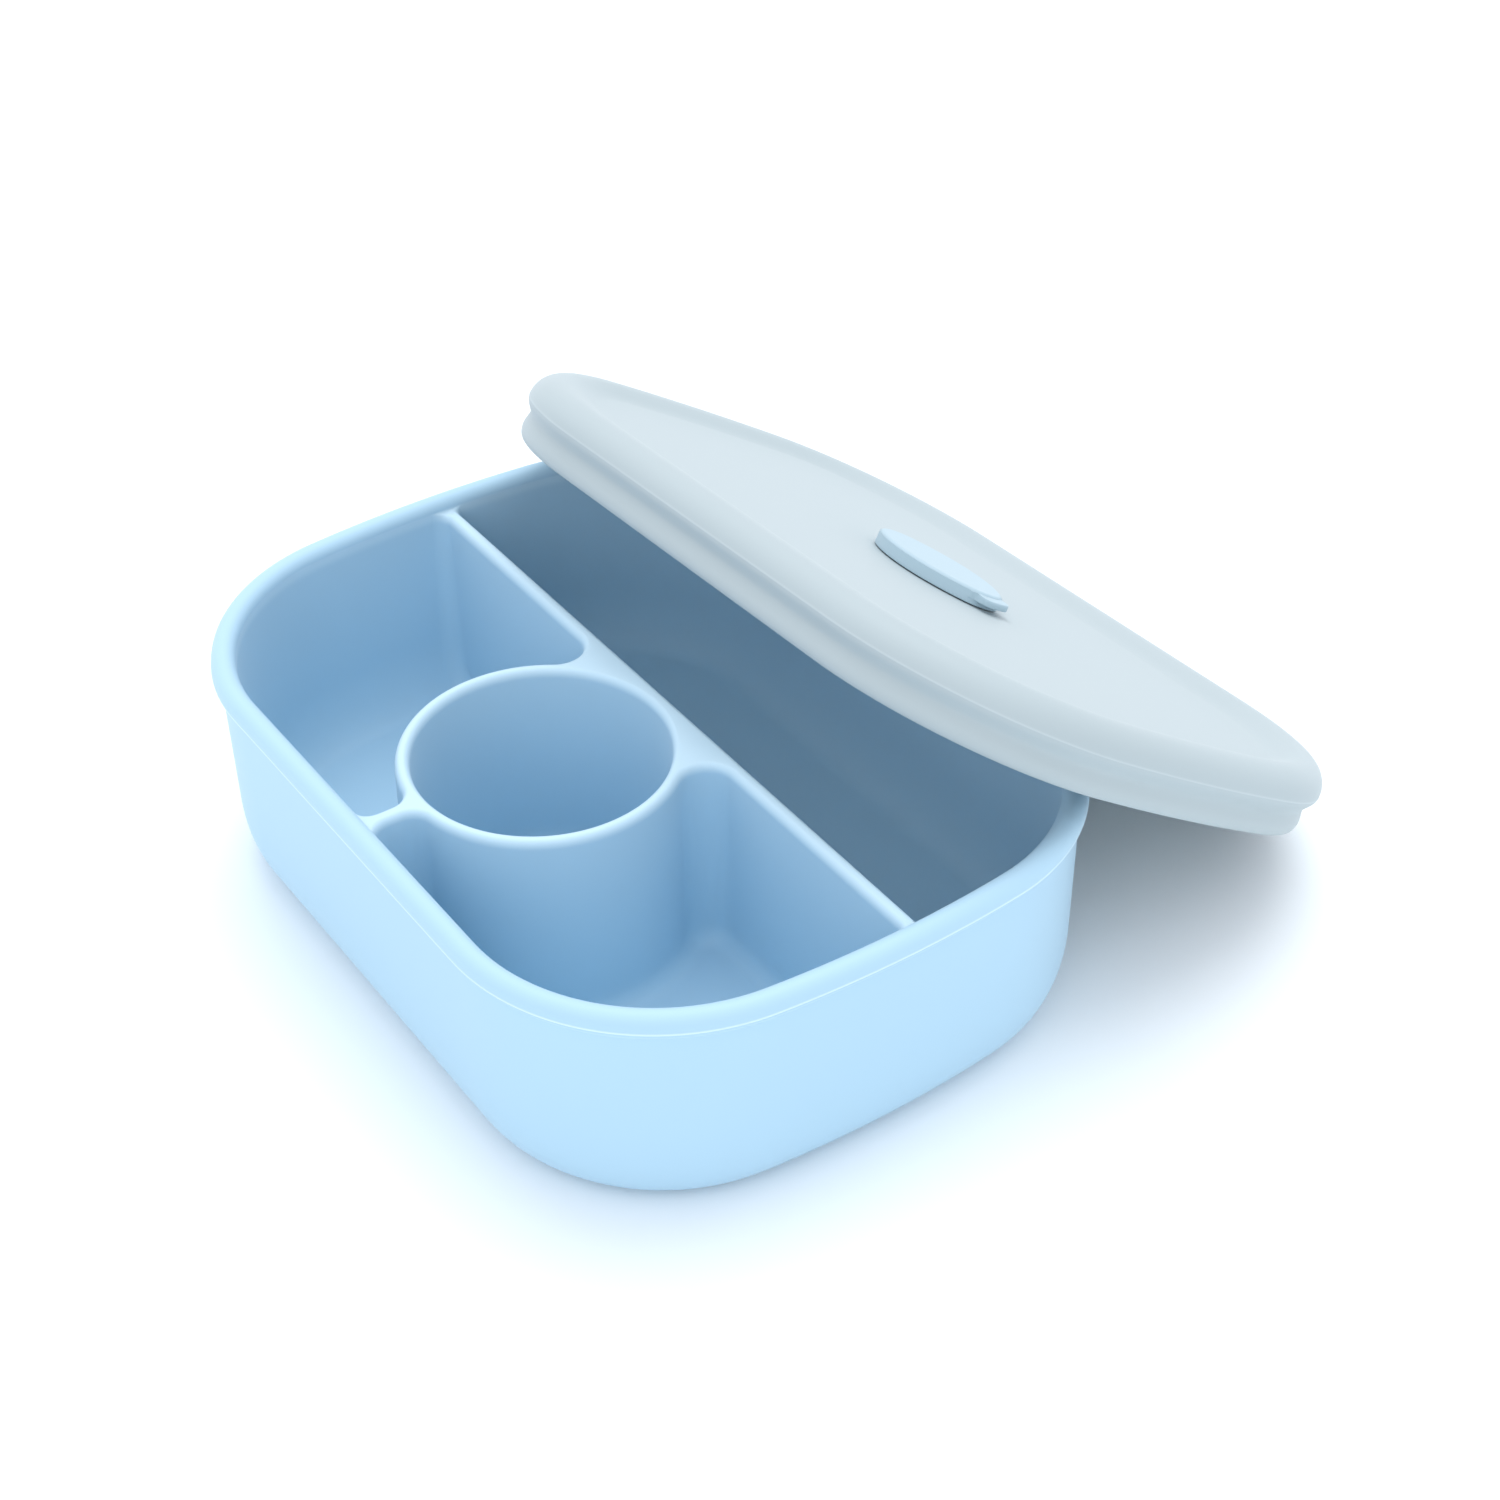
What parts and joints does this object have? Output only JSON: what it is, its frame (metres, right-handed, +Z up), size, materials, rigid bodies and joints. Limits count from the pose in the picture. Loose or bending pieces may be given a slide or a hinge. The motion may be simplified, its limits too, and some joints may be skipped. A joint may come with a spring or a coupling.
{
  "type": "lunch box",
  "caption": "Divided lunch box of soft silicone: a tray with three compartments and a round cup, its press-on lid leaning on the back rim, and an oval vent plug in the lid.",
  "frame": {"origin": "middle of the tray's flat underside, on the surface that the tray stands on", "axes": "+X along the tray's length, +Y from the tray towards the lid behind it, +Z up"},
  "size_m": [0.2063, 0.2236, 0.0987],
  "materials": {
    "tray_silicone": "matte silicone",
    "lid_silicone": "matte silicone",
    "plug_silicone": "matte silicone"
  },
  "bodies": {
    "tray": {"tray": "tray_silicone"},
    "lid": {"lid": "lid_silicone"},
    "vent_plug": {"vent_plug": "plug_silicone"}
  },
  "joints": [
    {"name": "lid_lift", "type": "slide", "parent": "tray", "child": "lid", "axis": [0, 0, 1], "range_m": [0, 0.1]},
    {"name": "vent_pull", "type": "slide", "parent": "lid", "child": "vent_plug", "axis": [-0.0455, 0.5566, 0.8295], "range_m": [0, 0.008]}
  ]
}
